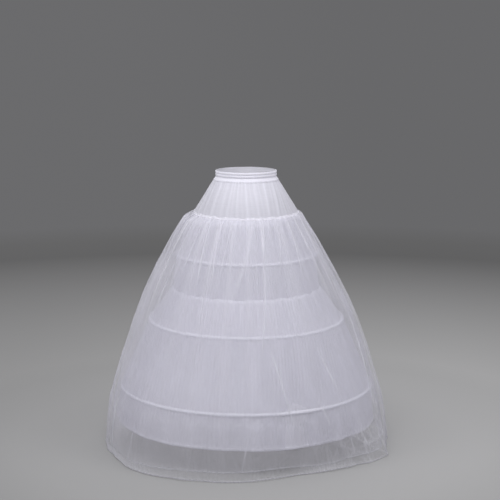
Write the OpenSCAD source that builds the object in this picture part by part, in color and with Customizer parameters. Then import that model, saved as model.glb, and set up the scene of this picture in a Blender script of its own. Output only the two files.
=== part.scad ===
// Hooped petticoat with a gathered lining in three tiers, three hoops in sewn-on casings,
// and a two-layer tulle overlay that hangs from the hip seam to the floor.
// Millimetres. The hem of the overlay stands on Z = 0, the front faces -Y.

/* [Length] */
// Height from the floor to the top of the waistband
skirt_h = 1096; // [1000:2:1250]

/* [Waistband] */
// Side-to-side width of the waist, at the facing
waist_w = 236; // [210:2:320]
// Front-to-back depth of the waist, at the facing
waist_d = 188; // [170:2:205]
// Height of the plain strip below the two elastic channels
plain_strip_h = 16; // [8:1:24]
// Height of each elastic channel, from stitch line to stitch line
channel_h = 11; // [10:0.5:15]
// Thickness of the band's cloth, a little over the real one
band_wall = 0.7; // [0.5:0.1:1]
// Gathers round the waistband
band_folds = 40; // [30:2:44]
// Depth of a gather on the channels, from its middle line
band_fold_t = 0.7; // [0.3:0.1:0.8]

/* [Waist elastic] */
// Width of each elastic strip
elastic_w = 6; // [4:0.5:7]
// Thickness of each elastic strip
elastic_t = 1.2; // [0.8:0.1:1.5]

/* [Lining] */
// Height of the yoke, the top tier
yoke_h = 128; // [100:2:160]
// Diameter of the lining at the hip seam
hip_d = 420; // [380:5:460]
// Height of the upper tier
upper_tier_h = 306; // [260:2:340]
// Diameter of the lining at the seam between the upper and lower tiers
mid_seam_d = 582; // [566:2:640]
// Height of the lining's hem above the floor
lining_hem_z = 100; // [70:5:130]
// Diameter of the lining at its hem
lining_hem_d = 1030; // [1015:5:1050]
// Thickness of the lining cloth, a little over the real one
lining_wall = 0.8; // [0.6:0.1:1.2]
// Width of the turned hem
hem_w = 12; // [8:1:20]

/* [Hoops] */
// Diameter of the upper hoop
upper_hoop_d = 554; // [500:2:570]
// Drop of the upper hoop below the hip seam
upper_hoop_drop = 167; // [130:1:200]
// Diameter of the middle hoop
middle_hoop_d = 774; // [700:2:820]
// Drop of the middle hoop below the tier seam
middle_hoop_drop = 121; // [90:1:150]
// Diameter of the lower hoop
lower_hoop_d = 1006; // [940:2:1014]
// Rise of the lower hoop above the lining hem
lower_hoop_rise = 136; // [110:1:165]
// Width of the flat hoop wire
hoop_w = 5; // [4:0.5:6]
// Thickness of the flat hoop wire
hoop_t = 1.2; // [0.8:0.1:1.6]

/* [Hoop joiners] */
// Length of the sleeve that joins the two ends of a hoop
joiner_len = 44; // [30:1:60]
// Wall of the sleeve
joiner_wall = 0.5; // [0.4:0.1:0.7]
// Free space between the two hoop ends inside the sleeve
joiner_gap = 3; // [1:0.5:6]

/* [Hoop casings] */
// Thickness of the casing tape
tape_t = 0.7; // [0.5:0.1:1]
// Width of each stitched edge of the tape
tape_edge = 3; // [2:0.5:5]

/* [Tulle overlay] */
// Overall diameter of the outer tulle at its hem, over the folds
overlay_d = 1140; // [1130:5:1260]
// Space between the two tulle layers at the hem
layer_gap = 20; // [18:1:26]
// Height of the inner tulle's hem above the floor
inner_hem_z = 30; // [15:5:50]
// Height of the stitched edge of the tulle below the hip seam
heading_h = 6; // [4:1:10]
// Thickness of the tulle, a little over the real one
tulle_wall = 0.6; // [0.5:0.1:0.8]

/* [Folds] */
// Folds round the lining
lining_folds = 42; // [34:2:42]
// Folds round the outer tulle
outer_folds = 54; // [44:2:54]
// Folds round the inner tulle
inner_folds = 30; // [26:2:32]
// Depth of a lining fold, from its middle line
lining_fold_t = 3.2; // [1:0.2:4]
// Depth of an outer tulle fold, from its middle line
outer_fold_t = 4; // [2:0.5:5]
// Depth of an inner tulle fold, from its middle line
inner_fold_t = 2; // [1:0.5:3]
// Depth of the broad waves in which the hems fall
drape_t = 5; // [1:0.5:6]

/* [Hidden] */

$fn = 96;

// Clearance between pieces that are sewn to each other
sewn_fit = 0.15;
// Clearance of a joiner in its casing
casing_fit = 0.3;
// Clearance between a hoop end and the sleeve on it
sleeve_fit = 0.1;

cloth_white = [0.95, 0.95, 0.98];
tulle_white = [0.93, 0.93, 0.97];
elastic_white = [0.9, 0.9, 0.9];
hoop_white = [0.86, 0.87, 0.88];
joiner_grey = [0.72, 0.73, 0.75];

// Heights of the seams and hoops
band_h = plain_strip_h + 2 * channel_h;
band_z = skirt_h - band_h;
hip_z = band_z - yoke_h;
mid_seam_z = hip_z - upper_tier_h;
upper_hoop_z = hip_z - upper_hoop_drop;
middle_hoop_z = mid_seam_z - middle_hoop_drop;
lower_hoop_z = lining_hem_z + lower_hoop_rise;

// Radii, to the lining's outer face and to the middle of each hoop wire
hip_r = hip_d / 2;
mid_seam_r = mid_seam_d / 2;
lining_hem_r = lining_hem_d / 2;
upper_hoop_r = upper_hoop_d / 2;
middle_hoop_r = middle_hoop_d / 2;
lower_hoop_r = lower_hoop_d / 2;

// The oval of the waist: two end arcs and two flatter arcs, tangent where they meet
end_arc_share = 0.82;
waist_a = waist_w / 2;
waist_b = waist_d / 2;
end_r = waist_b * end_arc_share;
end_c = waist_a - end_r;
flat_c = (pow(end_c, 2) - pow(waist_b - end_r, 2)) / (2 * (waist_b - end_r));
flat_r = waist_b + flat_c;
meet_a = atan2(flat_c, end_c);

// Centre and radius of the waist arc whose outward normal points at angle a
function fold_angle(a) = let (b = abs((a + 180) % 360 - 180)) min(b, 180 - b);
function on_end_arc(a) = fold_angle(a) < meet_a;
function arc_centre(a) = on_end_arc(a) ? [sign(cos(a)) * end_c, 0] : [0, -sign(sin(a)) * flat_c];
function arc_radius(a) = on_end_arc(a) ? end_r : flat_r;

// Broad waves of the hems, the same in every layer so that the layers fall together
wave_counts = [6, 10];
wave_turns = [20, 75];
wave_shares = [0.6, 0.4];
function drape_wave(a) = wave_shares[0] * sin(wave_counts[0] * a + wave_turns[0])
    + wave_shares[1] * sin(wave_counts[1] * a + wave_turns[1]);

// A gathered ring of cloth, given by its outline from top to bottom. Each station is
// [height, share of the way from the waist oval to a circle, radius of that circle,
// distance outside the oval, depth of the folds, depth of the broad waves, wall].
function station_point(s, k, n, fold_shares, inward) =
    let (a = 360 * k / n,
         fold = s[4] * (k % 2 == 0 ? 1 : -1) * fold_shares[k % (n / 2)] + s[5] * drape_wave(a),
         c = arc_centre(a) * (1 - s[1]),
         r = (arc_radius(a) + s[3]) * (1 - s[1]) + s[2] * s[1] + fold - inward * s[6])
    [c[0] + r * cos(a), c[1] + r * sin(a), s[0]];

least_fold_share = 0.35;

// The ring is whole, or one of the two panels that meet at the side seams.
module cloth_ring(stations, folds, seed, panel = "whole") {
    n = 2 * folds;
    m = len(stations);
    whole = panel == "whole";
    first = panel == "front" ? folds : 0;
    facets = whole ? n : folds;
    columns = whole ? n : folds + 1;
    seam_y = (panel == "front" ? -1 : 1) * sewn_fit / 2;
    fold_shares = rands(least_fold_share, 1, folds, seed);
    points = [for (inward = [0, 1]) for (s = stations) for (i = [0 : columns - 1])
                 let (p = station_point(s, (first + i) % n, n, fold_shares, inward))
                 !whole && i % folds == 0 ? [p[0], seam_y, p[2]] : p];
    function at(inward, j, i) = (inward * m + j) * columns + i % columns;
    // Both sides of the cloth are creased alike, from each fold's crest down into the
    // valleys beside it, so that the wall keeps its thickness across a twisted facet
    function creased(inward, j, i) =
        let (a = at(inward, j, i), b = at(inward, j, i + 1),
             c = at(inward, j + 1, i + 1), d = at(inward, j + 1, i))
        (first + i) % 2 == 0 ? [[a, b, c], [a, c, d]] : [[a, b, d], [b, c, d]];
    edges = [for (i = [0 : facets - 1]) each [
                [at(0, m - 1, i), at(0, m - 1, i + 1), at(1, m - 1, i + 1)],
                [at(0, m - 1, i), at(1, m - 1, i + 1), at(1, m - 1, i)],
                [at(0, 0, i + 1), at(0, 0, i), at(1, 0, i)],
                [at(0, 0, i + 1), at(1, 0, i), at(1, 0, i + 1)]]];
    sides = whole ? [] : [for (j = [0 : m - 2]) each [
                [at(1, j, 0), at(0, j, 0), at(0, j + 1, 0)],
                [at(1, j, 0), at(0, j + 1, 0), at(1, j + 1, 0)],
                [at(0, j, folds), at(1, j, folds), at(1, j + 1, folds)],
                [at(0, j, folds), at(1, j + 1, folds), at(0, j + 1, folds)]]];
    cloth = [for (i = [0 : facets - 1]) each concat(
                [for (j = [0 : m - 2]) each creased(0, j, i)],
                [for (j = [0 : m - 2]) for (t = creased(1, j, i)) [t[0], t[2], t[1]]])];
    polyhedron(points = points, faces = concat(edges, sides, cloth), convexity = 10);
}

// How far the middle of a facet lies inside the circle through its ends
function facet_dip(r, folds) = r * (1 - cos(90 / folds));

// Waistband. The outer ply is pinched to the facing along each stitch line and stands out
// over each elastic.
channel_round = 1.8;
pinch_out = sewn_fit + band_wall;
channel_out = sewn_fit + elastic_t + band_fold_t + sewn_fit * 2 + band_wall;
channel_centres = [plain_strip_h + channel_h / 2, plain_strip_h + channel_h * 3 / 2];

function band_station(z, out, fold_t) = [band_z + z, 0, 0, out, fold_t, 0, band_wall];
function channel_stations(z) = [
    band_station(z + channel_h, pinch_out, 0),
    band_station(z + channel_h - channel_round, channel_out, band_fold_t),
    band_station(z + channel_round, channel_out, band_fold_t)];

module waistband() {
    color(cloth_white) cloth_ring(concat(
        channel_stations(plain_strip_h + channel_h),
        channel_stations(plain_strip_h),
        [band_station(plain_strip_h, pinch_out, 0), band_station(0, pinch_out, 0)]
    ), band_folds, 5);
}

// An even loop of strip that follows the waist, from distance t_in to t_out outside the oval
function oval_points(out) = [for (k = [0 : 2 * band_folds - 1])
    let (a = 180 * k / band_folds, c = arc_centre(a), r = arc_radius(a) + out)
    [c[0] + r * cos(a), c[1] + r * sin(a)]];

module waist_loop(z, h, out_from, out_to) {
    translate([0, 0, band_z + z]) linear_extrude(h) difference() {
        polygon(oval_points(out_to));
        polygon(oval_points(out_from));
    }
}

module waistband_facing() {
    color(cloth_white) waist_loop(0, band_h, -band_wall, 0);
}

module waist_elastic(centre) {
    color(elastic_white)
        waist_loop(centre - elastic_w / 2, elastic_w, sewn_fit, sewn_fit + elastic_t);
}

module lower_waist_elastic() { waist_elastic(channel_centres[0]); }
module upper_waist_elastic() { waist_elastic(channel_centres[1]); }

// Hoop casing sizes, from the joiner that passes inside
joiner_t = hoop_t + 2 * (sleeve_fit + joiner_wall);
joiner_w = hoop_w + 2 * (sleeve_fit + joiner_wall);
hollow_t = joiner_t + 2 * casing_fit;
hollow_w = joiner_w + 2 * casing_fit;
casing_w = hollow_w + 2 * (tape_t + tape_edge);
corner_fits = 2.8;
corner_r = casing_fit * corner_fits;
corner_steps = 4;

// From the middle of the hoop wire in to the lining's outer face
hoop_inset = joiner_t / 2 + casing_fit;

// Lean of the lining at a hoop, in degrees from the vertical, between the cloth above
// and the cloth below
function lean(r_up, z_up, r, z, r_down, z_down) =
    (atan2(r - r_up, z_up - z) + atan2(r_down - r, z - z_down)) / 2;
upper_lean = lean(hip_r, hip_z, upper_hoop_r, upper_hoop_z, mid_seam_r, mid_seam_z);
middle_lean = lean(mid_seam_r, mid_seam_z, middle_hoop_r, middle_hoop_z,
                   lower_hoop_r, lower_hoop_z);
lower_lean = lean(middle_hoop_r, middle_hoop_z, lower_hoop_r, lower_hoop_z,
                  lining_hem_r, lining_hem_z);

// Turns a profile round the axis at a hoop, leaning with the lining. X of the profile is its
// distance outside the middle of the wire, Y its distance up the slope.
module hoop_turn(r, z, tilt, from = 0, sweep = 360) {
    translate([0, 0, z]) rotate(from) rotate_extrude(angle = sweep)
        translate([r, 0]) rotate(tilt) children();
}

module hoop_wire(r, z, tilt) {
    open_a = 360 * joiner_gap / (2 * PI * r);
    color(hoop_white) hoop_turn(r, z, tilt, 90 + open_a / 2, 360 - open_a)
        square([hoop_t, hoop_w], center = true);
}

module hoop_joiner(r, z, tilt) {
    sleeve_a = 360 * joiner_len / (2 * PI * r);
    color(joiner_grey) hoop_turn(r, z, tilt, 90 - sleeve_a / 2, sleeve_a) difference() {
        square([joiner_t, joiner_w], center = true);
        square([hoop_t + 2 * sleeve_fit, hoop_w + 2 * sleeve_fit], center = true);
    }
}

// Half of the casing's section, from the edge of the tape up over the channel and back
function corner(t, w, r) = [for (i = [0 : corner_steps])
    let (a = 90 - 90 * i / corner_steps) [t - r + r * cos(a), w - r + r * sin(a)]];
function casing_outside() = concat(
    [[sewn_fit, casing_w / 2], [sewn_fit + tape_t, casing_w / 2],
     [sewn_fit + tape_t, hollow_w / 2 + tape_t]],
    corner(hollow_t + tape_t, hollow_w / 2 + tape_t, corner_r + tape_t));
function casing_inside() = concat(
    [[sewn_fit, hollow_w / 2]], corner(hollow_t, hollow_w / 2, corner_r));
function flipped(points) = [for (i = [len(points) - 1 : -1 : 0]) [points[i][0], -points[i][1]]];

module hoop_casing(r, z, tilt) {
    color(cloth_white) hoop_turn(r, z, tilt) translate([-hoop_inset, 0])
        polygon(concat(casing_outside(), flipped(casing_outside()),
                       [for (p = casing_inside()) [p[0], -p[1]]],
                       [for (p = flipped(casing_inside())) [p[0], -p[1]]]));
}

module upper_hoop() { hoop_wire(upper_hoop_r, upper_hoop_z, upper_lean); }
module middle_hoop() { hoop_wire(middle_hoop_r, middle_hoop_z, middle_lean); }
module lower_hoop() { hoop_wire(lower_hoop_r, lower_hoop_z, lower_lean); }
module upper_hoop_joiner() { hoop_joiner(upper_hoop_r, upper_hoop_z, upper_lean); }
module middle_hoop_joiner() { hoop_joiner(middle_hoop_r, middle_hoop_z, middle_lean); }
module lower_hoop_joiner() { hoop_joiner(lower_hoop_r, lower_hoop_z, lower_lean); }
module upper_hoop_casing() { hoop_casing(upper_hoop_r, upper_hoop_z, upper_lean); }
module middle_hoop_casing() { hoop_casing(middle_hoop_r, middle_hoop_z, middle_lean); }
module lower_hoop_casing() { hoop_casing(lower_hoop_r, lower_hoop_z, lower_lean); }

// Lining tiers. The three tiers share their folds, so that they meet along the seams. The two
// lower ones and both layers of tulle are sewn from a front and a back panel.
lining_seed = 23;
seam_fold_t = lining_fold_t * 0.3;
yoke_gather_share = 0.4;
tier_gather_share = 0.5;

function lining_station(z, r, fold_t, wave_t = 0, wall = lining_wall) =
    [z, 1, r, 0, fold_t, wave_t, wall];

// The straight band of lining behind a casing: a station above the hoop and one below it
band_margin = 1;
function hoop_band(r, z, tilt) = [for (side = [1, -1])
    let (up = side * (casing_w / 2 + band_margin))
    lining_station(z + up * cos(tilt) - hoop_inset * sin(tilt),
                   r - up * sin(tilt) - hoop_inset * cos(tilt), 0)];

module yoke() {
    color(cloth_white) cloth_ring([
        [band_z, 0, 0, pinch_out, 0, 0, lining_wall],
        [band_z - yoke_h * yoke_gather_share, yoke_gather_share, hip_r, pinch_out,
         lining_fold_t, 0, lining_wall],
        lining_station(hip_z, hip_r, seam_fold_t)
    ], lining_folds, lining_seed);
}

module upper_tier(panel) {
    color(cloth_white) cloth_ring(concat(
        [lining_station(hip_z, hip_r, seam_fold_t),
         lining_station(hip_z - upper_hoop_drop * tier_gather_share,
                        hip_r + (upper_hoop_r - hip_r) * tier_gather_share, lining_fold_t)],
        hoop_band(upper_hoop_r, upper_hoop_z, upper_lean),
        [lining_station(mid_seam_z, mid_seam_r, seam_fold_t)]
    ), lining_folds, lining_seed, panel);
}
module upper_tier_front() { upper_tier("front"); }
module upper_tier_back() { upper_tier("back"); }

module lower_tier(panel) {
    color(cloth_white) cloth_ring(concat(
        [lining_station(mid_seam_z, mid_seam_r, seam_fold_t),
         lining_station(mid_seam_z - middle_hoop_drop * tier_gather_share,
                        mid_seam_r + (middle_hoop_r - mid_seam_r) * tier_gather_share,
                        lining_fold_t)],
        hoop_band(middle_hoop_r, middle_hoop_z, middle_lean),
        hoop_band(lower_hoop_r, lower_hoop_z, lower_lean),
        [lining_station(lining_hem_z + hem_w + lining_wall, lining_hem_r, seam_fold_t,
                        lining_fold_t),
         lining_station(lining_hem_z + hem_w, lining_hem_r, seam_fold_t, lining_fold_t,
                        2 * lining_wall),
         lining_station(lining_hem_z, lining_hem_r, seam_fold_t, lining_fold_t,
                        2 * lining_wall)]
    ), lining_folds, lining_seed, panel);
}
module lower_tier_front() { lower_tier("front"); }
module lower_tier_back() { lower_tier("back"); }

// Tulle overlay. Its outline follows shares of its height and of its spread, hip to hem.
height_shares = [0.955, 0.875, 0.745, 0.575, 0.37, 0.15, 0];
outer_spread_shares = [0.11, 0.24, 0.425, 0.64, 0.82, 0.985, 1];
inner_spread_shares = [0.08, 0.21, 0.4, 0.625, 0.826, 0.985, 1];
fold_depth_shares = [0.5, 0.8, 1, 1, 1, 1, 1];
wave_depth_shares = [0, 0.1, 0.3, 0.4, 0.4, 0.6, 1];

// The stitched edge lies on the upper tier, clear of the tops of its folds
tier_slope = (upper_hoop_r - hip_r + (lining_fold_t - seam_fold_t) / tier_gather_share)
    / upper_hoop_drop;
inner_edge_r = hip_r + seam_fold_t + facet_dip(hip_r, inner_folds) + sewn_fit + tulle_wall;
outer_edge_r = inner_edge_r + facet_dip(hip_r, outer_folds) + sewn_fit + tulle_wall;
outer_hem_r = overlay_d / 2 - outer_fold_t - drape_t;

function overlay_stations(edge_r, hem_r, hem_z, spread_shares, fold_t) = concat(
    [[hip_z, 1, edge_r, 0, 0, 0, tulle_wall],
     [hip_z - heading_h, 1, edge_r + heading_h * tier_slope, 0, 0, 0, tulle_wall]],
    [for (i = [0 : len(height_shares) - 1])
        [hem_z + (hip_z - hem_z) * height_shares[i], 1,
         edge_r + (hem_r - edge_r) * spread_shares[i], 0,
         fold_t * fold_depth_shares[i], drape_t * wave_depth_shares[i], tulle_wall]]);

module inner_tulle(panel) {
    color(tulle_white) cloth_ring(
        overlay_stations(inner_edge_r, outer_hem_r - layer_gap, inner_hem_z,
                         inner_spread_shares, inner_fold_t), inner_folds, 41, panel);
}
module inner_tulle_front() { inner_tulle("front"); }
module inner_tulle_back() { inner_tulle("back"); }

module outer_tulle(panel) {
    color(tulle_white) cloth_ring(
        overlay_stations(outer_edge_r, outer_hem_r, 0, outer_spread_shares, outer_fold_t),
        outer_folds, 53, panel);
}
module outer_tulle_front() { outer_tulle("front"); }
module outer_tulle_back() { outer_tulle("back"); }

waistband();
waistband_facing();
upper_waist_elastic();
lower_waist_elastic();
yoke();
upper_tier_front();
upper_tier_back();
lower_tier_front();
lower_tier_back();
upper_hoop_casing();
middle_hoop_casing();
lower_hoop_casing();
upper_hoop();
middle_hoop();
lower_hoop();
upper_hoop_joiner();
middle_hoop_joiner();
lower_hoop_joiner();
inner_tulle_front();
inner_tulle_back();
outer_tulle_front();
outer_tulle_back();
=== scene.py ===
import math

import bmesh
import bpy
import numpy as np
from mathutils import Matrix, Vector


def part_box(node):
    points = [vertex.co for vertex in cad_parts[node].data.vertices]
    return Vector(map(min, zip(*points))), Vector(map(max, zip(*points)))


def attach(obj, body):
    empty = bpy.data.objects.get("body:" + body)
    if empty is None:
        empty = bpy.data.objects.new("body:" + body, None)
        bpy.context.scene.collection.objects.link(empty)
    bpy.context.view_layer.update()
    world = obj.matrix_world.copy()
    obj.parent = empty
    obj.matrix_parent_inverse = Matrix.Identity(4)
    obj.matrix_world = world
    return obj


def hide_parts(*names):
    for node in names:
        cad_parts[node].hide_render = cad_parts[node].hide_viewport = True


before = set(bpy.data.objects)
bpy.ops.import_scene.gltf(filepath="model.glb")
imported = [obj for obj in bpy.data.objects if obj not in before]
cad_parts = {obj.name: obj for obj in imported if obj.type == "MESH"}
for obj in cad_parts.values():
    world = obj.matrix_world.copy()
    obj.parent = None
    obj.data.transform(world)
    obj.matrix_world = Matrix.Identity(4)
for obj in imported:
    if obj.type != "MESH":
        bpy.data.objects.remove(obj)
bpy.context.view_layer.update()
scene = bpy.context.scene


# Camera. It stands six metres off at a little over head height and looks slightly down,
# through a long lens.
frame_px = 500
focal_px = 1600
camera_dip = 10.2
camera_data = bpy.data.cameras.new("camera")
camera_data.sensor_width = 36
camera_data.lens = camera_data.sensor_width * focal_px / frame_px
camera = bpy.data.objects.new("camera", camera_data)
camera.location = (0.0155, -6.2747, 1.9033)
camera.rotation_euler = (math.radians(90 - camera_dip), 0, 0)
scene.collection.objects.link(camera)
scene.camera = camera


# Studio. A pale round floor that curves up into a plain grey backdrop all round. The camera
# sees the backdrop and the far floor as a glow with painted light and shade; nearer, most of
# the tone is lit and keeps the skirt's shadow. For all other light the backdrop is a soft even
# glow.
floor_radius = 7.4
floor_rings = (0.6, 1.2, 2.0, 3.0, 4.5, floor_radius)
sweep_radius = 1.8
sweep_turns = range(6, 91, 6)
backdrop_top_z = 6.5
studio_sides = 96


def link_mesh(name, bm):
    mesh = bpy.data.meshes.new(name)
    bm.to_mesh(mesh)
    bm.free()
    mesh.shade_smooth()
    piece = bpy.data.objects.new(name, mesh)
    scene.collection.objects.link(piece)
    return piece


bm = bmesh.new()
tip = bm.verts.new((0, 0, 0))
rail = []
corners = [(radius, 0) for radius in floor_rings]
corners += [(floor_radius + sweep_radius * math.sin(math.radians(turn)),
             sweep_radius * (1 - math.cos(math.radians(turn)))) for turn in sweep_turns]
corners.append((floor_radius + sweep_radius, backdrop_top_z))
for radius, height in corners:
    following = bm.verts.new((radius, 0, height))
    rail.append(bm.edges.new((tip, following)))
    tip = following
bmesh.ops.spin(bm, geom=rail + list(bm.verts), angle=2 * math.pi, steps=studio_sides,
               axis=(0, 0, 1), cent=(0, 0, 0), use_merge=True)
bmesh.ops.remove_doubles(bm, verts=bm.verts, dist=1e-5)
bmesh.ops.recalc_face_normals(bm, faces=bm.faces)
studio = link_mesh("studio_sweep", bm)


def new_material(name):
    material = bpy.data.materials.new(name)
    material.use_nodes = True
    nodes = material.node_tree.nodes
    nodes.clear()
    return material, nodes, material.node_tree.links


def feed(links, socket, value):
    """Links the socket to another one, or gives it a plain number."""
    if isinstance(value, bpy.types.NodeSocket):
        links.new(value, socket)
    else:
        socket.default_value = value


def map_range(nodes, links, value, low, high, to_low=0.0, to_high=1.0):
    node = nodes.new("ShaderNodeMapRange")
    for socket, end in (("From Min", low), ("From Max", high), ("To Min", to_low),
                        ("To Max", to_high), ("Value", value)):
        feed(links, node.inputs[socket], end)
    return node.outputs["Result"]


def combined(nodes, links, operation, *values):
    node = nodes.new("ShaderNodeMath")
    node.operation = operation
    for socket, value in zip(node.inputs, values):
        feed(links, socket, value)
    return node.outputs["Value"]


def product(nodes, links, first, second):
    return combined(nodes, links, "MULTIPLY", first, second)


def stretched(nodes, links, place, scale):
    node = nodes.new("ShaderNodeMapping")
    node.inputs["Scale"].default_value = scale
    links.new(place, node.inputs["Vector"])
    return node.outputs["Vector"]


def axes_of(nodes, links, vector):
    node = nodes.new("ShaderNodeSeparateXYZ")
    links.new(vector, node.inputs["Vector"])
    return node.outputs


def shaded(nodes, links, color, share):
    node = nodes.new("ShaderNodeVectorMath")
    node.operation = "SCALE"
    links.new(color, node.inputs[0])
    links.new(share, node.inputs["Scale"])
    return node.outputs["Vector"]


# The paper's painted light and shade by its distance from the skirt: at the middle, at shares
# of paper_reach, and at its end, light near the skirt falling off to painted shade far off. It
# is painted a little lighter near the skirt's right and darker far off there.
paper_reach = 5.4
painted_near_light = (0.372, 0.362, 0.364, 1)
painted_far_shade = (0.150, 0.150, 0.155, 1)
painted_falloff_greys = ((0.10, 0.388), (0.17, 0.368), (0.24, 0.318), (0.42, 0.262), (0.56, 0.215),
               (0.68, 0.170), (0.78, 0.128), (0.88, 0.134))
air_color = (0.95, 0.95, 1.0)
air_strength = 0.26

material, nodes, links = new_material("studio_paper_painted_light")
place = nodes.new("ShaderNodeTexCoord").outputs["Object"]
axes = axes_of(nodes, links, place)
flat_distance = nodes.new("ShaderNodeVectorMath")
flat_distance.operation = "LENGTH"
links.new(stretched(nodes, links, place, (1, 1, 0)), flat_distance.inputs[0])
off = flat_distance.outputs["Value"]
tone = nodes.new("ShaderNodeValToRGB")
steps = tone.color_ramp.elements
steps[0].color = painted_near_light
steps[1].color = painted_far_shade
for at, grey in painted_falloff_greys:
    steps.new(at).color = (grey, grey * 0.995, grey * 1.01, 1)
links.new(map_range(nodes, links, off, 0.0, paper_reach), tone.inputs["Fac"])
# Painted light: a little lighter near the skirt's right and darker far off there.
painted_left_shade = map_range(nodes, links, off, 1.5, 4.0, 0.95, 0.98)
painted_right_light = map_range(nodes, links, off, 1.5, 4.0, 1.18, 0.93)
across = map_range(nodes, links, axes["X"], -1.1, 1.1, painted_left_shade, painted_right_light)
along = map_range(nodes, links, axes["Y"], -1.0, 1.0, 0.99, 0.995)
paper_with_painted_light = shaded(nodes, links, tone.outputs["Color"], product(nodes, links, across, along))
lit = nodes.new("ShaderNodeBsdfDiffuse")
links.new(paper_with_painted_light, lit.inputs["Color"])
ray = nodes.new("ShaderNodeLightPath").outputs
seen = combined(nodes, links, "MAXIMUM", ray["Is Camera Ray"],
                combined(nodes, links, "MAXIMUM", ray["Is Glossy Ray"],
                         ray["Is Transmission Ray"]))
glow = nodes.new("ShaderNodeMixRGB")
glow.inputs["Color1"].default_value = tuple(c * air_strength for c in air_color) + (1,)
links.new(seen, glow.inputs["Fac"])
links.new(paper_with_painted_light, glow.inputs["Color2"])
shown = nodes.new("ShaderNodeEmission")
links.new(glow.outputs["Color"], shown.inputs["Color"])
painted = map_range(nodes, links, off, 0.60, 1.5, 0.30, 1.0)
glowing = map_range(nodes, links, off, 2.0, 5.0, 0.0, 1.0)
blend = nodes.new("ShaderNodeMixShader")
links.new(map_range(nodes, links, seen, 0, 1, glowing, painted), blend.inputs["Fac"])
links.new(lit.outputs["BSDF"], blend.inputs[1])
links.new(shown.outputs["Emission"], blend.inputs[2])
output = nodes.new("ShaderNodeOutputMaterial")
links.new(blend.outputs["Shader"], output.inputs["Surface"])
studio.data.materials.append(material)


# Lamps. Four plain soft boxes: one over the front, one to each side and one over the back,
# in air that glows as faintly as the backdrop.
def softbox(name, at, look_at, size, power):
    lamp = bpy.data.lights.new(name, "AREA")
    lamp.shape = "RECTANGLE"
    lamp.size, lamp.size_y = size
    lamp.energy = power
    body = bpy.data.objects.new(name, lamp)
    body.location = at
    aim = Vector(look_at) - Vector(at)
    body.rotation_euler = aim.to_track_quat("-Z", "Y").to_euler()
    scene.collection.objects.link(body)


softbox("key_softbox", (-0.35, -2.0, 3.7), (0, 0, 0.8), (2.2, 1.6), power=51)
softbox("left_softbox", (-2.7, -1.6, 3.2), (0, 0, 0.9), (1.8, 1.8), power=37)
softbox("right_softbox", (2.7, -1.6, 3.3), (0, 0, 0.9), (1.8, 1.8), power=41)
softbox("top_softbox", (0.0, 1.6, 4.2), (0, 0.2, 0.6), (2.6, 1.6), power=32)

world = bpy.data.worlds.new("studio_air")
scene.world = world
world.use_nodes = True
world.node_tree.nodes["Background"].inputs["Color"].default_value = air_color + (1,)
world.node_tree.nodes["Background"].inputs["Strength"].default_value = air_strength
scene.view_settings.view_transform = "Standard"
scene.cycles.transparent_max_bounces = 48


# Yoke. The lining's top tier, of fine plain-woven white cloth. It is gathered into the
# waistband and onto the hip seam, where its edge lies under the lapped edge of the next
# tier, and it rounds out over the stomach.
def node_span(node):
    low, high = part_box(node)
    return np.array(low), np.array(high)


band_low, band_high = node_span("waistband")
band_z = band_low[2]
hip_z = node_span("yoke")[0][2]
hip_r = 0.207

# The waist is an oval of four arcs: a small one at each side of the body, about (end_c, 0),
# and a flat one in front and behind, about (0, flat_c). They meet at meet_angle.
waist_a, waist_b = node_span("waistband_facing")[1][:2]
end_r = waist_b * 0.82
end_c = waist_a - end_r
flat_c = (end_c ** 2 - (waist_b - end_r) ** 2) / (2 * (waist_b - end_r))
flat_r = waist_b + flat_c
meet_angle = math.atan2(flat_c, end_c)


def on_waist(angle, oval_share, radius, out):
    """A point between a circle of that radius, at share 0, and the waist's oval, at 1."""
    turned = angle - np.pi / 2
    folded = np.abs((turned + np.pi) % (2 * np.pi) - np.pi)
    folded = np.minimum(folded, np.pi - folded)
    end = folded < meet_angle
    centre_x = np.where(end, np.sign(np.sin(angle)) * end_c, 0)
    centre_y = np.where(end, 0, np.sign(np.cos(angle)) * flat_c)
    arc = np.where(end, end_r, flat_r)
    reach = radius * (1 - oval_share) + (arc + out) * oval_share
    return (centre_x * oval_share + reach * np.sin(angle),
            centre_y * oval_share - reach * np.cos(angle))


def smooth_step(x):
    x = np.clip(x, 0, 1)
    return x * x * (3 - 2 * x)


def subdivided(outline, step):
    """The outline with a point about every step metres."""
    dense = [outline[0]]
    for (r0, z0), (r1, z1) in zip(outline[:-1], outline[1:]):
        parts = max(1, round(math.hypot(r1 - r0, z1 - z0) / step))
        dense += [(r0 + (r1 - r0) * k / parts, z0 + (z1 - z0) * k / parts)
                  for k in range(1, parts + 1)]
    return dense


def read_points(piece):
    points = np.empty(len(piece.data.vertices) * 3)
    piece.data.vertices.foreach_get("co", points)
    return points.reshape(-1, 3)


def write_points(piece, points):
    piece.data.vertices.foreach_set("co", points.ravel())
    piece.data.update()


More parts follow.
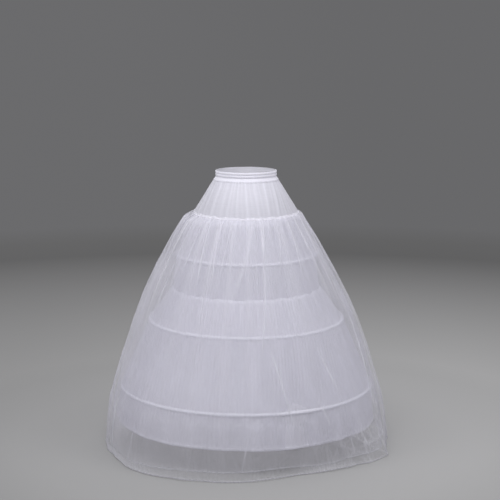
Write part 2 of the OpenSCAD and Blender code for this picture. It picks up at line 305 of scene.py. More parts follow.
def rolled_tube(name, outline, columns):
    """outline is a list of (radius, height) from top to bottom. The cloth is a flat grid
    rolled round the body and joined at the back. Its map's U runs once round and its V is
    the distance down the cloth, in metres."""
    bm = bmesh.new()
    bm.loops.layers.uv.new("cloth")
    rows = len(outline) - 1
    bmesh.ops.create_grid(bm, x_segments=columns, y_segments=rows, size=1, calc_uvs=True)
    for vert in bm.verts:
        angle = math.pi * vert.co.x
        radius, height = outline[round((1 - vert.co.y) / 2 * rows)]
        vert.co = (radius * math.sin(angle), -radius * math.cos(angle), height)
    bmesh.ops.remove_doubles(bm, verts=bm.verts, dist=1e-6)
    piece = link_mesh(name, bm)
    corners = np.empty(len(piece.data.loops), dtype=int)
    piece.data.loops.foreach_get("vertex_index", corners)
    radii, heights = np.array(outline).T
    down = np.concatenate([[0], np.cumsum(np.hypot(np.diff(radii), np.diff(heights)))])
    chart = piece.data.uv_layers["cloth"].data
    places = np.empty(2 * len(corners))
    chart.foreach_get("uv", places)
    places[1::2] = np.interp(-read_points(piece)[:, 2], -heights, down)[corners]
    chart.foreach_set("uv", places)
    return piece


def front_angle(points):
    """Angle round the body from the front, towards the viewer's right."""
    return np.arctan2(points[:, 0], -points[:, 1])


whole_turn = 6.28


def uneven(angle, seed):
    """How far folds wander from even spacing, and how their depth swells, round the body."""
    draw = np.random.default_rng(seed)
    wander = sum(draw.uniform(0.5, 1) / k * np.sin(k * angle + draw.uniform(0, whole_turn))
                 for k in (2, 3, 5, 8, 13))
    swell = sum(np.sin(k * angle + draw.uniform(0, whole_turn)) for k in (3, 7, 11, 17)) / 4
    return wander, swell


def ripple(angle, count, seed):
    """A soft wave of about count folds round the body."""
    wander, swell = uneven(angle, seed)
    return np.sin(count * angle + wander * count / 24) * (0.7 + 0.45 * swell)


def ridges(angle, count, seed, sharp):
    """Narrow crests of about count folds round the body, from 0 in the valleys to 1."""
    wander, swell = uneven(angle, seed)
    crest = (0.5 + 0.5 * np.sin(count * angle + wander * count / 20)) ** sharp
    return crest * np.clip(0.7 + 0.5 * swell, 0.12, 1.2)


fine_pleats = 108
middling_pleats = 59
broad_pleats = 31


def gathers(angle, distance, strength, seed, reach=1.0):
    """Folds that spring from a gathered seam. distance is how far below or above the seam
    a point lies; fine pleats close to it merge into fewer, softer ones further off."""
    rise = 1 - np.exp(-distance / 0.007)
    fine = ridges(angle, fine_pleats, seed, 1.4) - 0.3
    middling = ridges(angle, middling_pleats, seed + 1, 1.6) - 0.3
    broad = ridges(angle, broad_pleats, seed + 2, 1.6) - 0.3
    return strength * rise * (fine * np.exp(-distance / (0.030 * reach))
                              + 1.7 * (middling * np.exp(-distance / (0.075 * reach)))
                              + 2.2 * (broad * np.exp(-distance / (0.17 * reach))))


def seam_wobble(angle, seed, size):
    """How far a hand-fed seam strays up and down from its line."""
    return size * (ripple(angle, 17, seed) + 0.7 * ripple(angle, 29, seed + 1)
                   + 0.5 * ripple(angle, 47, seed + 2))


def hip_seam_wobble(angle):
    return seam_wobble(angle, seed=201, size=0.0018)


fold_and_light_top = 1.5


def mark_folds(piece, closeness):
    """Keeps, for the material, a mark at each point from 0 up to 1.5. In the net it is how far
    the net lies doubled: 1 where it is folded back on itself, and 1.5 in a rolled hem. In the
    lining, tape and band it is painted light and shade: lighter on crests, seams and hems, and
    darker in the valleys."""
    layer = piece.data.attributes.new("fold", "FLOAT", "POINT")
    layer.data.foreach_set("value", np.clip(closeness, 0, fold_and_light_top).astype(np.float32))


def thicken(piece, thickness):
    wall = piece.modifiers.new("wall", "SOLIDIFY")
    wall.thickness = thickness
    wall.offset = -1


# The weave, the slubs and the stitches follow the cloth by its map, and the stitches are a
# little
# darker. In the lining, tape and band the fold mark paints light and shade into the colour:
# lighter on crests, seams and hems, and darker in the valleys. In the net it makes the net
# closer.
def cloth_chart(nodes):
    chart = nodes.new("ShaderNodeUVMap")
    chart.uv_map = "cloth"
    return chart.outputs["UV"]


def fold_mark(nodes):
    fold = nodes.new("ShaderNodeAttribute")
    fold.attribute_name = "fold"
    return fold.outputs["Fac"]


def noise(nodes, links, place, scale, detail):
    grain = nodes.new("ShaderNodeTexNoise")
    grain.inputs["Scale"].default_value = scale
    grain.inputs["Detail"].default_value = detail
    links.new(place, grain.inputs["Vector"])
    return grain.outputs["Fac"]


def two_tones(nodes, links, value, dark, light, low=0.0, high=1.0):
    ramp = nodes.new("ShaderNodeValToRGB")
    for step, at, color in zip(ramp.color_ramp.elements, (low, high), (dark, light)):
        step.position = at
        step.color = tuple(color) + (1,)
    links.new(value, ramp.inputs["Fac"])
    return ramp.outputs["Color"]


def bumped(nodes, links, relief, strength, distance):
    bump = nodes.new("ShaderNodeBump")
    bump.inputs["Strength"].default_value = strength
    bump.inputs["Distance"].default_value = distance
    links.new(relief, bump.inputs["Height"])
    return bump.outputs["Normal"]


def cover(nodes, links, plain, linked):
    """The piece's surface, with its plain values and its linked sockets."""
    shader = nodes.new("ShaderNodeBsdfPrincipled")
    for socket, value in plain.items():
        shader.inputs[socket].default_value = value
    for socket, source in linked.items():
        links.new(source, shader.inputs[socket])
    output = nodes.new("ShaderNodeOutputMaterial")
    links.new(shader.outputs["BSDF"], output.inputs["Surface"])


stitch_length = 0.003
stitch_share = 0.72
thread_half = 0.0005


def stitch_row(nodes, links, chart, row, around_m):
    """1 on the stitches of a row that lies that many metres down the cloth, and 0 off them."""
    axes = axes_of(nodes, links, chart)
    on_row = combined(nodes, links, "COMPARE", axes["Y"], row, thread_half)
    along = combined(nodes, links, "FRACT",
                     product(nodes, links, axes["X"], around_m / stitch_length))
    thread = combined(nodes, links, "LESS_THAN", along, stitch_share)
    return product(nodes, links, on_row, thread)


def cloth_material(name, color, threads_per_metre, around_m, stitch_rows=(),
                   roughness=0.85, sheen=0.25):
    material, nodes, links = new_material(name)
    chart = cloth_chart(nodes)
    threads = axes_of(nodes, links, stretched(
        nodes, links, chart, (around_m * threads_per_metre, threads_per_metre, 1)))
    waves = [combined(nodes, links, "SINE", product(nodes, links, threads[axis], 2 * math.pi))
             for axis in "XY"]
    slub = noise(nodes, links, stretched(nodes, links, chart, (around_m * 9, 60, 1)),
                 scale=3.0, detail=4.0)
    tones = two_tones(nodes, links, slub, [c * 0.955 for c in color], color, 0.3, 0.7)
    relief = combined(nodes, links, "MULTIPLY_ADD", product(nodes, links, *waves), 0.5, slub)
    # Painted light and shade: the colour runs from 0.94 where the fold mark is 0 to 1.19 at its
    # top.
    share = map_range(nodes, links, fold_mark(nodes), 0, fold_and_light_top, 0.94, 1.19)
    for row in stitch_rows:
        sewn = stitch_row(nodes, links, chart, row, around_m)
        share = product(nodes, links, share, map_range(nodes, links, sewn, 0, 1, 1.0, 0.88))
        relief = combined(nodes, links, "SUBTRACT", relief, sewn)
    cover(nodes, links,
          {"Roughness": roughness, "Sheen Weight": sheen, "Sheen Roughness": 0.4},
          {"Base Color": shaded(nodes, links, tones, share),
           "Normal": bumped(nodes, links, relief, strength=0.25, distance=0.0003)})
    return material


# Each tube of cloth starts at rough_r, and its points are then laid on the body.
lining_columns = 720
lining_threads = 1400
cloth_t = 0.0005
rough_r = 0.2
yoke_row = 0.004
yoke_turning = 0.004
yoke_out = 0.0008
# The yoke's white is painted darker than the tiers' lining white, as painted shade.
yoke_shaded_white = (0.70, 0.692, 0.772)
strip_flare = 0.009
front_round = 0.009
band_gathers = 31
hip_gathers = 47


def yoke_points(angle, z, out):
    """Points that far out from the yoke, which opens from the waist's oval to the round
    hip seam."""
    fall = np.clip((band_z - z) / (band_z - hip_z), 0, 1.2)
    x, y = on_waist(angle, 1 - fall, hip_r, yoke_out)
    spread = np.hypot(x, y)
    swell = strip_flare * (1 - np.clip(fall, 0, 1))
    swell += front_round * np.sin(np.pi * np.clip(fall, 0, 1)) * np.cos(angle) ** 2
    out = out + swell
    return np.stack([x + x / spread * out, y + y / spread * out, z], axis=1)


yoke_outline = subdivided(
    [(rough_r, band_z + yoke_turning), (rough_r, hip_z - yoke_turning)], yoke_row)
yoke = rolled_tube("gathered_yoke", yoke_outline, lining_columns)
points = read_points(yoke)
angle, z = front_angle(points), points[:, 2]
below_band, above_hip = np.maximum(band_z - z, 0), np.maximum(z - hip_z - 0.002, 0)
bias = angle + 0.5 * (z - hip_z) * np.sin(5 * angle + 1.0)
lift = gathers(bias, below_band, 0.0009, band_gathers, reach=1.6)
lift += gathers(bias, above_hip, 0.0006, hip_gathers)
# Painted light and shade: the gather crests are painted lighter and the valleys darker.
crests = (0.7 * ridges(bias, middling_pleats, band_gathers + 1, 3) * np.exp(-below_band / 0.10)
          + 0.6 * ridges(bias, broad_pleats, band_gathers + 2, 4)
          + 0.5 * ridges(bias, middling_pleats, hip_gathers + 1, 3) * np.exp(-above_hip / 0.05))
z = z + hip_seam_wobble(angle) * smooth_step((band_z - z) / (band_z - hip_z))
write_points(yoke, yoke_points(angle, z, lift))
# The yoke is also painted lighter towards the waistband, as painted light.
level = np.clip((band_z - z) / (band_z - hip_z), 0, 1)
mark_folds(yoke, crests * (0.85 - 0.25 * level) + 0.45 * (1 - level))
thicken(yoke, cloth_t)
yoke.data.materials.append(cloth_material("yoke_cloth", yoke_shaded_white, lining_threads, 1.35))
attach(yoke, "root")
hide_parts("yoke")


# Upper tier. White lining cloth, lapped over the yoke at the hip seam with two rows of
# stitches. It is gathered below that, smooth over the upper hoop, where it runs straight and
# square to the way the skirt leans, and slightly eased into the seam with the lower tier.
mid_seam_z = node_span("upper_tier_front")[0][2]
mid_seam_r = 0.291
strip_half_reach = 0.0012
casing_half = 0.0084
hoop_inset = 0.0018


def hoop_ring(name):
    """A hoop's radius to the middle of its leaning strip, and the strip's middle height."""
    low, high = node_span(name)
    outer_r = (high[0] - low[0] + high[1] - low[1]) / 4
    return outer_r - strip_half_reach, (high[2] + low[2]) / 2


def lean(r_up, z_up, r, z, r_down, z_down):
    return (math.atan2(r - r_up, z_up - z) + math.atan2(r_down - r, z - z_down)) / 2


def beside_hoop(r, z, tilt, up, out):
    """A point of an outline, up along the cloth and out from the hoop's middle."""
    return (r - up * math.sin(tilt) + out * math.cos(tilt),
            z + up * math.cos(tilt) + out * math.sin(tilt))


def hoop_band(r, z, tilt):
    return [beside_hoop(r, z, tilt, up, -hoop_inset) for up in (casing_half, -casing_half)]


def outward(points, amount):
    """Moves points away from the body's axis by amount."""
    radius = np.hypot(points[:, 0], points[:, 1])
    points[:, 0] += points[:, 0] / radius * amount
    points[:, 1] += points[:, 1] / radius * amount


def puckers(angle, off, count, seed, size):
    """Small puckers beside a stitched line; off is the distance from it."""
    return size * ripple(angle, count, seed) * np.exp(-(off / 0.006) ** 2) * (off > 0)


def mid_seam_wobble(angle):
    return seam_wobble(angle, seed=211, size=0.0024)


hip_lap = 0.005
lap_out = 0.0012
lap_rise = 0.0006
below_lap = 0.0028
mid_turning = 0.004
upper_row = 0.005
smooth_by_hoop = 0.06
seam_fade = 0.06
foot_fade = 0.05
at_seam = 0.001
upper_gathers = 61
upper_foot_gathers = 73
lining_white = (0.80, 0.79, 0.88)
hip_stitches = (0.0016, 0.0038)

upper_r, upper_z = hoop_ring("upper_hoop")
middle_r, middle_z = hoop_ring("middle_hoop")
upper_lean = lean(hip_r, hip_z, upper_r, upper_z, mid_seam_r, mid_seam_z)
upper_outline = subdivided(
    [(hip_r + lap_out, hip_z + hip_lap), (hip_r + below_lap, hip_z)]
    + hoop_band(upper_r, upper_z, upper_lean)
    + [(mid_seam_r, mid_seam_z - mid_turning)], upper_row)
upper_tier = rolled_tube("gathered_upper_tier", upper_outline, lining_columns)
points = read_points(upper_tier)
angle, z = front_angle(points), points[:, 2].copy()
below_hip, above_mid = np.maximum(hip_z - z, 0), np.maximum(z - mid_seam_z, 0)
off_band = np.maximum(np.abs(z - upper_z) - casing_half, 0)
off_hoop = smooth_step(off_band / smooth_by_hoop)
lift = gathers(angle, below_hip, 0.0013, upper_gathers) * off_hoop
lift += gathers(angle, above_mid, 0.0006, upper_foot_gathers) * off_hoop
lift += puckers(angle, off_band, 170, 65, 0.0004)
outward(points, lift)
# Painted light and shade: the gather crests are painted lighter and the valleys darker, and the
# lap at the hip seam a little lighter.
crests = 0.9 * ridges(angle, middling_pleats, upper_gathers + 1, 3) * np.exp(-below_hip / 0.06)
crests += (0.7 * ridges(angle, middling_pleats, upper_foot_gathers + 1, 3)
           * np.exp(-above_mid / 0.04))
mark_folds(upper_tier, crests * off_hoop + 0.15 * (z > hip_z - at_seam))
wobble = hip_seam_wobble(angle)
points[:, 2] += wobble * smooth_step(1 - (hip_z - z) / seam_fade)
points[:, 2] += mid_seam_wobble(angle) * smooth_step(1 - (z - mid_seam_z) / foot_fade)
down_lap = np.clip((hip_z + hip_lap - z) / hip_lap, 0, 1)
lap = yoke_points(angle, z, lap_out + lap_rise * down_lap)
lap[:, 2] += wobble
lapped = z > hip_z - at_seam
points[lapped] = lap[lapped]
write_points(upper_tier, points)
thicken(upper_tier, cloth_t)
upper_tier.data.materials.append(
    cloth_material("upper_tier_cloth", lining_white, lining_threads, 1.9, hip_stitches))
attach(upper_tier, "root")
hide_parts("upper_tier_front", "upper_tier_back")


# Lower tier. White lining cloth, gathered on to the upper tier over a lapped seam, held out
# by the middle and lower hoops, and turned up in a narrow hem.
hem_z = node_span("lower_tier_front")[0][2]
hem_r = 0.515
hem_w = 0.012
hem_fold = 0.002
hem_out = 0.0014
hem_edge_out = 0.0016
seam_lap = 0.007
seam_flare = 0.0052
lower_row = 0.0094
lower_gathers = 83
lower_folds = (27, 87)
hem_wave = 0.005
slack_drop = 0.034
slack_reach = 0.022
slack_depth = 0.0035
mid_stitches = (0.0022, 0.0048)


def bell(value, at, width):
    """1 at a place, falling off smoothly on either side of it."""
    return np.exp(-((value - at) / width) ** 2)


def creases(angle, z, seed, wavelength):
    """Crossing creases of crumpled cloth, about a wavelength in metres apart: their relief,
    and how near each point is to the line of one."""
    draw = np.random.default_rng(seed)
    relief, line = 0, 0
    for k in range(6):
        slant = draw.uniform(-1.3, 1.3)
        step = 2 * np.pi / (wavelength * draw.uniform(0.7, 1.5))
        bend = 0.8 * np.sin(draw.integers(6, 14) * angle + 20 * z * draw.uniform(0.4, 1)
                            + draw.uniform(0, whole_turn))
        rounds = 2 * round(0.28 * step * np.cos(slant))
        phase = rounds * angle + step * z * np.sin(slant) + bend
        wave = np.abs(np.sin(phase / 2 + draw.uniform(0, whole_turn / 2)))
        patch = 0.5 + 0.5 * np.sin(draw.integers(3, 9) * angle + 31 * z
                                   + draw.uniform(0, whole_turn))
        relief = relief + (1 - 2 * wave) / 6
        line = np.maximum(line, np.exp(-(wave / 0.16) ** 2) * patch)
    return relief, line


lower_r, lower_z = hoop_ring("lower_hoop")
middle_lean = lean(mid_seam_r, mid_seam_z, middle_r, middle_z, lower_r, lower_z)
lower_lean = lean(middle_r, middle_z, lower_r, lower_z, hem_r, hem_z)
lower_outline = subdivided(
    [(mid_seam_r, mid_seam_z + seam_lap), (mid_seam_r + seam_flare, mid_seam_z)]
    + hoop_band(middle_r, middle_z, middle_lean)
    + hoop_band(lower_r, lower_z, lower_lean)
    + [(hem_r, hem_z + hem_w + hem_fold), (hem_r + hem_out, hem_z + hem_w - hem_fold),
       (hem_r + hem_edge_out, hem_z + hem_fold), (hem_r, hem_z)], lower_row)
lower_tier = rolled_tube("gathered_lower_tier", lower_outline, lining_columns)
points = read_points(lower_tier)
angle, z = front_angle(points), points[:, 2].copy()
below_mid = np.maximum(mid_seam_z - z, 0)
off_middle = np.maximum(np.abs(z - middle_z) - casing_half, 0)
off_lower = np.maximum(np.abs(z - lower_z) - casing_half, 0)
off_hoops = smooth_step(off_middle / smooth_by_hoop) * smooth_step(off_lower / smooth_by_hoop)
lift = gathers(angle, below_mid, 0.0016, lower_gathers) * off_hoops
lift += 0.0016 * ripple(angle, *lower_folds) * off_hoops * (z < middle_z)
lift += puckers(angle, off_middle, 210, 95, 0.0005)
lift += puckers(angle, off_lower, 260, 96, 0.0006)
to_hem = np.maximum(lower_z - z, 0) / (lower_z - hem_z)
lift += hem_wave * smooth_step(to_hem) * (ripple(angle, 7, 91) + 0.4 * ripple(angle, 19, 92))
outward(points, lift)
points[:, 2] += mid_seam_wobble(angle) * smooth_step(1 - (mid_seam_z - z) / seam_fade)
# Painted light and shade: the gather and fold crests are painted lighter and the valleys
# darker.
crests = 0.9 * ridges(angle, middling_pleats, lower_gathers + 1, 3) * np.exp(-below_mid / 0.06)
crests += 0.5 * ridges(angle, *lower_folds, 3) * (z < middle_z)

# The cloth hangs slack just below the lower hoop, most of all in front.
slack = bell(z - lower_z, -slack_drop, slack_reach) * (0.35 + 0.65 * np.cos(angle - 0.2) ** 4)
relief, line = creases(angle, 2.4 * z, 89, 0.075)
outward(points, slack_depth * relief * slack)
# The slack creases are painted lighter along their lines, as a painted highlight.
crests += 1.6 * line * slack
in_seam, in_hem = z > mid_seam_z - at_seam, z < hem_z + hem_w + 0.001
# The seam lap and the hem are painted lighter still, as a painted highlight.
mark_folds(lower_tier, crests * np.maximum(off_hoops, slack) + 1.5 * in_seam + 1.2 * in_hem)
write_points(lower_tier, points)
thicken(lower_tier, cloth_t)
lower_tier.data.materials.append(
    cloth_material("lower_tier_cloth", lining_white, lining_threads, 3.3, mid_stitches))
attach(lower_tier, "root")
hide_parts("lower_tier_front", "lower_tier_back")


# Hoop casings. Cotton tape stitched down along both edges, over each hoop, which it rounds
# out; the lining puckers a little along the stitches.
tape_half = 0.0092
tape_edge = 0.002
tape_rows = 14
tape_out = 0.0006
tape_white = (0.865, 0.857, 0.945)
tape_threads = 900


def sewn_casing(name, node, r, z, tilt, length, round_out=0.0046):
    outline = []
    for k in range(tape_rows + 1):
        up = tape_half * (1 - 2 * k / tape_rows)
        share = min(1, abs(up) / (tape_half - tape_edge))
        out = tape_out - hoop_inset + round_out * (1 - share ** 2.2)
        outline.append(beside_hoop(r, z, tilt, up, out))
    casing = rolled_tube(name, outline, lining_columns)
    points = read_points(casing)
    angle = front_angle(points)
    rise = points[:, 2] - z
    edge = smooth_step((np.abs(rise) - tape_half * 0.35) / (tape_half * 0.5))
    outward(points, 0.0004 * ripple(angle, 190, 96) * edge)
    points[:, 2] += 0.0005 * ripple(angle, 61, 97) * edge
    write_points(casing, points)
    # Painted light and shade: the tape is painted lighter over the rounded hoop and darker
    # towards its stitched edges.
    mark_folds(casing, 1 - edge)
    thicken(casing, cloth_t)
    wide = 2 * tape_half
    casing.data.materials.append(cloth_material(
        name + "_tape", tape_white, tape_threads, length, (0.0016, wide - 0.0006), 0.8, 0.2))
    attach(casing, "root")
    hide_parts(node)


sewn_casing("upper_sewn_casing", "upper_hoop_casing",
            upper_r, upper_z, upper_lean, 1.76, round_out=0.0060)
sewn_casing("middle_sewn_casing", "middle_hoop_casing",
            middle_r, middle_z, middle_lean, 2.45)
sewn_casing("lower_sewn_casing", "lower_hoop_casing",
            lower_r, lower_z, lower_lean, 3.18)


# Waistband. A folded strip gathered by two elastics: two ruched channels above, and below
# them a plain strip that leans out with the yoke.
top_z = band_high[2]
channel_h = 0.011
strip_h = top_z - band_z - 2 * channel_h
band_rows = 46
band_cloth_t = 0.0006
band_out = 0.0012
channel_swell = 0.0019
ruche_depth = 0.0008
rim_wave = 0.0009
rim_dip = 0.0006
band_white = (0.88, 0.87, 0.96)
band_stitches = (0.0012, channel_h, 2 * channel_h)

waistband = rolled_tube(
    "ruched_waistband",
    [(rough_r, top_z - k * (top_z - band_z) / band_rows) for k in range(band_rows + 1)],
    lining_columns)
points = read_points(waistband)
angle, z = front_angle(points), points[:, 2] - band_z
in_channel = np.clip((z - strip_h) / channel_h, 0, 2)
belly = np.where(z > strip_h, np.abs(np.sin(np.pi * in_channel)), 0) ** 0.6
ruche = ridges(angle, 128, 7, 1.3) - 0.3 + ripple(angle, 97, 8) * 0.3
lift = belly * (channel_swell + ruche_depth * ruche)
down_strip = np.clip(1 - z / strip_h, 0, 1)
lift += 0.0005 * ripple(angle, 84, 9) * down_strip + (strip_flare + 0.0006) * down_strip ** 1.2
lift = np.maximum(lift, 0) + band_out
x, y = on_waist(angle, np.ones(len(z)), 0, lift)
rim = smooth_step((z - strip_h) / (2 * channel_h))
z = np.minimum(z + rim * (rim_wave * ripple(angle, 58, 12) - rim_dip), top_z - band_z)
write_points(waistband, np.stack([x, y, band_z + z], axis=1))
thicken(waistband, band_cloth_t)
# Painted light and shade: the band is painted lighter, most on the channels' swell, with a
# painted shadow line just under the channels.
mark_folds(waistband, 0.75 + 0.25 * belly - 1.1 * bell(z - strip_h, -0.001, 0.0014))
waistband.data.materials.append(
    cloth_material("waistband_cloth", band_white, lining_threads, 0.8, band_stitches))
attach(waistband, "root")
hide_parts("waistband")


# Waistband facing. The band's inner ply, of close-woven tape, which lies smooth against the
# body behind the elastics. Its weave is read by place, since it is a plain ring.
material, nodes, links = new_material("facing_tape")
grain = noise(nodes, links, nodes.new("ShaderNodeTexCoord").outputs["Object"],
              scale=900, detail=3)
tones = two_tones(nodes, links, grain, (0.80, 0.79, 0.87), (0.88, 0.87, 0.95))
cover(nodes, links, {"Roughness": 0.8, "Sheen Weight": 0.2},
      {"Base Color": tones,
       "Normal": bumped(nodes, links, grain, strength=0.3, distance=0.0004)})
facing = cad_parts["waistband_facing"]
facing.data.materials.clear()
facing.data.materials.append(material)


# Tulle. Two layers of fine white nylon net with meshes under two millimetres across. It is
# cut three times as wide as the hip seam, so it is bunched and closer there than at the hem.
# Each hangs from the seam in pleats and finer folds, and ends in a narrow rolled hem.
net_per_metre = 600
net_white = (0.89, 0.88, 0.965, 1)
seam_share = 0.12


def tulle_material(name, around_m, seam_alpha, hem_alpha, length):
    """Net that hides more where it is bunched near the seam and where it lies folded."""
    material, nodes, links = new_material(name)
    chart = cloth_chart(nodes)
    cell = nodes.new("ShaderNodeTexVoronoi")
    cell.feature = "DISTANCE_TO_EDGE"
    cell.inputs["Randomness"].default_value = 0.15
    cell.inputs["Scale"].default_value = 1.0
    links.new(stretched(nodes, links, chart, (around_m * net_per_metre, net_per_metre, 1)),
              cell.inputs["Vector"])
    thread = map_range(nodes, links, cell.outputs["Distance"], 0.04, 0.2, 1.35, 0.75)
    closeness = nodes.new("ShaderNodeValToRGB")
    steps = closeness.color_ramp.elements
    steps[0].color = (seam_alpha, seam_alpha, seam_alpha, 1)
    steps[1].color = (hem_alpha, hem_alpha, hem_alpha, 1)
    below_seam = seam_alpha * 0.3 + hem_alpha * 0.77
    steps.new(seam_share).color = (below_seam, below_seam, below_seam, 1)
    links.new(map_range(nodes, links, axes_of(nodes, links, chart)["Y"], 0.0, length),
              closeness.inputs["Fac"])
    doubled = map_range(nodes, links, fold_mark(nodes), 0, fold_and_light_top, 1.0, 3.4)
    meshed = product(nodes, links, closeness.outputs["Color"], thread)
    cover(nodes, links, {"Base Color": net_white, "Roughness": 0.6, "Sheen Weight": 0.8,
                         "Sheen Roughness": 0.35},
          {"Alpha": product(nodes, links, meshed, doubled)})
    return material


# Outline of the tulle as it stands in front of the camera, fuller on the viewer's left.
# Each row is a height, the reach to the left and the reach to the right.
tulle_reach = np.array([
    (0.930, 0.2110, 0.2110), (0.924, 0.2230, 0.2200), (0.910, 0.2480, 0.2280),
    (0.887, 0.2640, 0.2410), (0.827, 0.3005, 0.2795), (0.774, 0.3285, 0.3095),
    (0.713, 0.3615, 0.3435), (0.648, 0.3925, 0.3785), (0.587, 0.4195, 0.4075),
    (0.505, 0.4505, 0.4435), (0.386, 0.4895, 0.4845), (0.311, 0.5145, 0.5065),
    (0.194, 0.5465, 0.5415), (0.120, 0.5575, 0.5555), (0.047, 0.5625, 0.5640),
    (0.000, 0.5640, 0.5680)])
rising_reach = tulle_reach[::-1]
hem_roll = 0.004
hem_rough_r = 0.56
upper_net_row = 0.016
lower_net_row = 0.008
net_rows_meet = 0.19


def tulle_outline(hem):
    """The rows lie closer near the floor, where the net creases."""
    rows = [(r, z) for z, r in tulle_reach[:, :2] if z > hem]
    near = [row for row in rows if row[1] < net_rows_meet + 0.01]
    upper = subdivided([row for row in rows if row[1] > net_rows_meet], upper_net_row)
    lower = subdivided(near + [(hem_rough_r, hem + 2 * hem_roll)], lower_net_row)
    return upper + lower[1:] + [(hem_rough_r, hem + hem_roll), (hem_rough_r, hem)]


def tulle_radius(angle, z, inset):
    """How far out the net hangs. Its hem swings out to the left of the front and in to the
    right of it, and juts out in a corner at the right."""
    left = np.interp(z, rising_reach[:, 0], rising_reach[:, 1])
    right = np.interp(z, rising_reach[:, 0], rising_reach[:, 2])
    body = (left + right) / 2 + (right - left) / 2 * np.sin(angle)
    turn = np.degrees(angle)
    swing = (0.050 * bell(turn, -36, 24) - 0.030 * bell(turn, 25, 15)
             + 0.010 * bell(turn, 60, 16) + 0.016 * bell(turn, -5, 12)
             + 0.014 * np.sin(5 * angle + 0.6) * smooth_step((np.abs(turn) - 90) / 30))
    body += swing * smooth_step((0.5 - z) / 0.5)
    body += 0.026 * bell(turn, 63, 10) * smooth_step((0.22 - z) / 0.22)
    return body - inset * smooth_step((hip_z - z) / 0.2)


def pleated(angle, z, pleats):
    """Turns and lifts points so that the cloth folds along each pleat, and says how close
    they lie to one. A pleat is (angle at its top, at its foot, top height, foot height,
    width, depth), the angles in degrees from the front and the lengths in metres."""
    turned, lift = angle.copy(), np.zeros(len(angle))
    close = np.zeros(len(angle))
    reach = np.interp(z, rising_reach[:, 0], rising_reach[:, 1])
    for top_at, foot_at, top, foot, width, depth in pleats:
        share = np.clip((top - z) / (top - foot), 0, 1)
        centre = np.radians(top_at + (foot_at - top_at) * share)
        centre += 0.012 * np.sin(9 * z + top_at)
        beside = ((angle - centre + np.pi) % (2 * np.pi) - np.pi) * reach
        u = np.clip(beside / width, -5, 5)
        crest = np.exp(-u * u / 2) * (np.abs(u) < 5)
        length = top - foot
        live = (smooth_step((top - z) / (0.3 * length) + (top > 0.9))
                * smooth_step((z - foot) / (0.45 * length) + (foot < 0.01)))
        turned -= (700 * depth) * width / reach * u * crest * live
        lift += depth * live * (crest - 0.8 * np.tanh(1.2 * u) * crest ** 0.4)
        close += live * crest ** 2 * min(1, 0.0052 / width)
    return turned, lift, close


def fine_gathers(angle, z, radius, slope, count, seed):
    """Small ripples right round the net, whose flanks lean by slope. They keep the net close
    wherever it is seen edge on."""
    wander, swell = uneven(angle, seed)
    drift = 1.5 * np.sin(3 * angle + 6 * z) + 1.1 * np.sin(8 * angle - 11 * z)
    patch = 0.8 + 0.45 * np.sin(9 * angle + 14 * z) * np.sin(5 * angle - 21 * z + 1)
    depth = slope * radius * math.pi / (2 * count)
    return depth * np.sin(count * angle + 7 * wander + drift) * (0.9 + 0.3 * swell) * patch


def tulle_folds(seed, count, clear=()):
    """Pleats that spring from the gathered seam or rise from the hem, all round but for the
    angles that are kept clear."""
    draw = np.random.default_rng(seed)
    pleats = []
    for k in range(count):
        at = -180 + 360 * (k + draw.uniform(-0.35, 0.35)) / count
        width = draw.uniform(0.0030, 0.0060)
        if any(low < at < high for low, high in clear):
            continue
        if k % 4 < 3:
            foot = draw.uniform(0.35, 0.8)
            pleats.append((at, at + draw.uniform(-5, 5), 0.93, foot, width, width * 0.35))
        else:
            top = draw.uniform(0.10, 0.25)
            pleats.append((at, at + draw.uniform(-5, 5), top, 0, width, width * 0.3))
    return pleats


net_pleats = 53
net_folds = 27
hem_bulge = 0.0030
hem_tuck = 0.0020
hem_lift = 0.0025
least_z = 0.0003


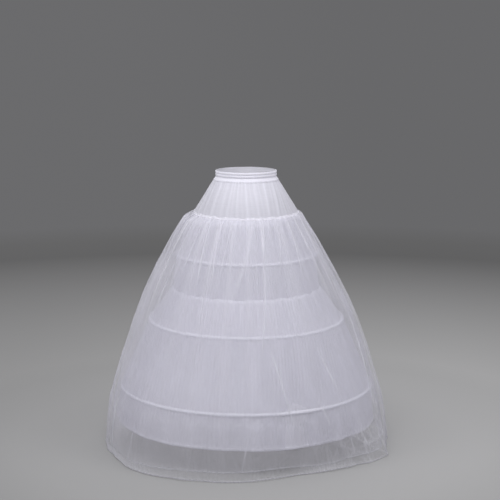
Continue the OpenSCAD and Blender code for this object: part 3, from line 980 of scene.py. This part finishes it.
def hang_tulle(piece, inset, hem, pleats, seed, ripples):
    points = read_points(piece)
    angle, z = front_angle(points), points[:, 2].copy()
    turned, lift, close = pleated(angle, z, pleats)
    turn = np.degrees(angle)
    drop = np.maximum(hip_z - z, 0)

    # Folds from the gathered seam, which merge and fade on the way down.
    bias = angle + 0.10 * np.sin(2 * angle + 0.5) * drop + 0.06 * np.sin(7 * angle) * drop
    bunched, loose = np.exp(-drop / 0.20), np.exp(-drop / 0.45)
    lift += (0.0030 * (ridges(bias, net_pleats, seed, 1.5) - 0.3) * bunched
             * smooth_step(drop / 0.015))
    lift += (0.0040 * (ridges(bias, net_folds, seed + 2, 1.5) - 0.3) * loose
             * smooth_step(drop / 0.08))
    close += 0.40 * ridges(bias, net_pleats, seed, 2.5) * bunched
    close += 0.46 * ridges(bias, net_folds, seed + 2, 2.5) * loose
    close += 0.30 * ridges(bias, fine_pleats, seed + 3, 3) * np.exp(-drop / 0.05)
    close *= 0.35 + 0.65 * smooth_step(drop / 0.035)
    sway = smooth_step(drop / 0.45)
    lift += 0.0042 * sway * ripple(angle, 13, 301) + 0.0022 * sway * ripple(angle, 29, seed)

    # Creases, sharpest near the floor to the front right.
    near_floor = smooth_step((0.21 - z) / 0.12)
    crumple = 0.12 + bell(turn, 56, 17)
    relief, line = creases(angle, z, seed, 0.085)
    lift += 0.008 * crumple * relief * near_floor
    close += 0.75 * crumple * near_floor * line
    lift += 0.0015 * creases(angle, z, seed + 5, 0.11)[0] * sway

    # Fuller bunches: at both sides, at the left, high up at the right, and at the floor.
    sides = bell(np.abs(turn), 86, 6) * (0.6 + 0.4 * ripple(angle, 90, seed))
    close += 0.55 * sides * smooth_step((0.75 - z) / 0.2)
    close += 0.34 * bell(turn, -70, 20) * smooth_step((0.85 - z) / 0.12)
    close += 0.18 * bell(turn, 66, 18) * smooth_step((z - 0.55) / 0.15)
    pooled = bell(turn, -58, 24) + 0.7 * bell(turn, 34, 12)
    if hem == 0:
        close += 0.9 * pooled * smooth_step((0.034 - z) / 0.012)
    close = np.minimum(close, 1)

    radius = tulle_radius(turned, z, inset) + lift
    radius += 0.45 * inset * pooled * smooth_step((0.12 - z) / 0.10)
    slope = np.interp(drop, (0, 0.15, 0.5, 0.93), (0.6, 0.46, 0.42, 0.5))
    radius += fine_gathers(angle, z, radius, slope, ripples, seed) * smooth_step(drop / 0.01)
    up_hem = (z - hem) / hem_roll
    radius += hem_bulge * (up_hem < 1.5) * (up_hem > 0.5) - hem_tuck * (up_hem < 0.5)
    close += fold_and_light_top * (up_hem < 1.5)
    off_floor = hem_lift * (1 + ripple(angle, 11, seed + 7)) - 0.4 * hem * np.minimum(pooled, 1)
    points[:, 0] = radius * np.sin(turned)
    points[:, 1] = -radius * np.cos(turned)
    points[:, 2] = z + off_floor * smooth_step((0.08 - z + hem) / 0.08)
    points[:, 2] = np.maximum(points[:, 2], least_z)
    write_points(piece, points)
    mark_folds(piece, close)


inner_hem_z = 0.030
inner_inset = 0.017
inner_columns, inner_ripples = 960, 192
inner_tulle = rolled_tube("inner_tulle_layer", tulle_outline(inner_hem_z), inner_columns)
hang_tulle(inner_tulle, inner_inset, inner_hem_z, tulle_folds(71, 30), 111, inner_ripples)
inner_tulle.data.materials.append(tulle_material("inner_tulle_net", 4.6, 0.28, 0.190, 1.0))
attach(inner_tulle, "root")
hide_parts("inner_tulle_front", "inner_tulle_back")

front_pleats = [
    (13.5, 7.5, 0.93, 0.38, 0.0048, 0.0010), (17, 11, 0.93, 0.70, 0.0030, 0.0012),
    (6, -11, 0.92, 0.58, 0.0120, 0.0005), (32, 21, 0.93, 0.72, 0.0036, 0.0015),
    (46, 38, 0.93, 0.70, 0.0034, 0.0014), (-44, -45, 0.93, 0.72, 0.0036, 0.0014),
    (-34, -30, 0.92, 0.66, 0.0034, 0.0014), (-22, -21, 0.93, 0.68, 0.0036, 0.0014),
    (-14, -16, 0.93, 0.72, 0.0030, 0.0012), (10, 23, 0.50, 0.13, 0.0046, 0.0005),
    (34, 46, 0.49, 0.26, 0.0044, 0.0005), (33, 38, 0.29, 0.13, 0.0040, 0.0005),
    (72, 65, 0.66, 0.10, 0.0050, 0.0024), (-69, -68, 0.22, 0.0, 0.0040, 0.0018)]
outer_pleats = front_pleats + tulle_folds(83, 38, clear=((-48, 50),))
outer_columns, outer_ripples = 1160, 232
outer_tulle = rolled_tube("outer_tulle_layer", tulle_outline(0.0), outer_columns)
hang_tulle(outer_tulle, 0.0, 0.0, outer_pleats, 131, outer_ripples)
outer_tulle.data.materials.append(tulle_material("outer_tulle_net", 5.2, 0.30, 0.200, 1.03))
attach(outer_tulle, "root")
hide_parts("outer_tulle_front", "outer_tulle_back")


# Hoops, their joiners and the waist elastics: white-coated spring steel, crimped steel
# sleeves and braided elastic. They lie inside the casings and the band, and show only where
# those are opened.
def plain_finish(name, color, roughness, metallic, grain_scale):
    material, nodes, links = new_material(name)
    place = nodes.new("ShaderNodeTexCoord").outputs["Object"]
    grain = noise(nodes, links, place, grain_scale, detail=2.0)
    tones = two_tones(nodes, links, grain, [c * 0.92 for c in color], color)
    cover(nodes, links, {"Roughness": roughness, "Metallic": metallic}, {"Base Color": tones})
    return material


hoop_coating = plain_finish("hoop_coating", (0.86, 0.87, 0.88), 0.45, 0, 300)
joiner_steel = plain_finish("joiner_steel", (0.72, 0.73, 0.75), 0.35, 1, 500)
braided_elastic = plain_finish("braided_elastic", (0.9, 0.9, 0.9), 0.8, 0, 1200)
hidden_pieces = {"upper_waist_elastic": braided_elastic, "lower_waist_elastic": braided_elastic}
for hoop in ("upper_hoop", "middle_hoop", "lower_hoop"):
    hidden_pieces[hoop] = hoop_coating
    hidden_pieces[hoop + "_joiner"] = joiner_steel
for node, finish in hidden_pieces.items():
    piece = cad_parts[node]
    piece.data.materials.clear()
    piece.data.materials.append(finish)
